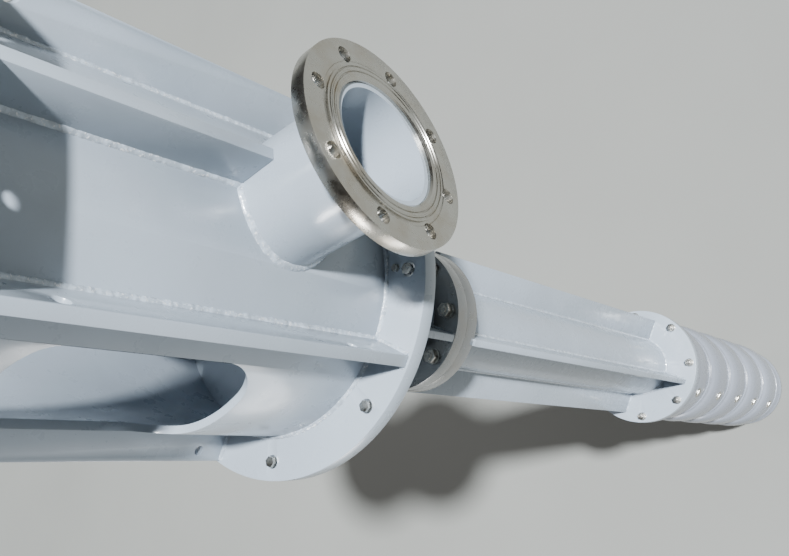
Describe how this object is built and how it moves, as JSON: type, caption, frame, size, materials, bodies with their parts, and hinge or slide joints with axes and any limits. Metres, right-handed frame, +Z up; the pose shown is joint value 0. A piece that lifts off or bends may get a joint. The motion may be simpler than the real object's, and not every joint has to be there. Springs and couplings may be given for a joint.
{
  "type": "vertical turbine pump",
  "caption": "Vertical turbine pump: windowed steel discharge head with a flanged side outlet, ribbed spool and column pipe, stacked bulging bowls and a suction bell",
  "frame": {"origin": "on the underside of the base plate, 235 mm from the shaft axis on the side away from the discharge, where the plate is solid", "axes": "+Z up along the shaft, +X the way the discharge points, shaft axis parallel to Z at x = 0.235 m, y = 0"},
  "size_m": [0.715, 0.61, 3.2923],
  "materials": {
    "head_paint": "semi-gloss light grey paint",
    "column_paint": "semi-gloss light grey paint",
    "bowl_paint": "semi-gloss grey paint over castings",
    "machined_steel": "turned, bare and bright",
    "shaft_steel": "ground bar"
  },
  "bodies": {
    "root": {"motor_flange": "head_paint", "base_plate": "head_paint", "head_shell_lower": "head_paint", "head_cheek_front": "head_paint", "head_cheek_back": "head_paint", "head_shell_upper": "head_paint", "head_rib_1": "head_paint", "head_rib_2": "head_paint", "head_rib_3": "head_paint", "head_rib_4": "head_paint", "nozzle_rib": "head_paint", "discharge_elbow": "head_paint", "discharge_flange": "machined_steel", "seal_housing": "head_paint", "seal_flange": "machined_steel", "seal_gland": "machined_steel", "shaft_coupling": "shaft_steel", "line_shaft": "shaft_steel", "spool_pipe": "column_paint", "spool_rib_1": "column_paint", "spool_rib_2": "column_paint", "spool_rib_3": "column_paint", "spool_rib_4": "column_paint", "spool_flange": "machined_steel", "column_top_flange": "machined_steel", "column_pipe": "column_paint", "column_rib_1": "column_paint", "column_rib_2": "column_paint", "column_rib_3": "column_paint", "column_rib_4": "column_paint", "column_end_flange": "column_paint", "bowl_1": "bowl_paint", "bowl_2": "bowl_paint", "bowl_3": "bowl_paint", "bowl_4": "bowl_paint", "bowl_5": "bowl_paint", "suction_bell": "bowl_paint"}
  },
  "joints": []
}
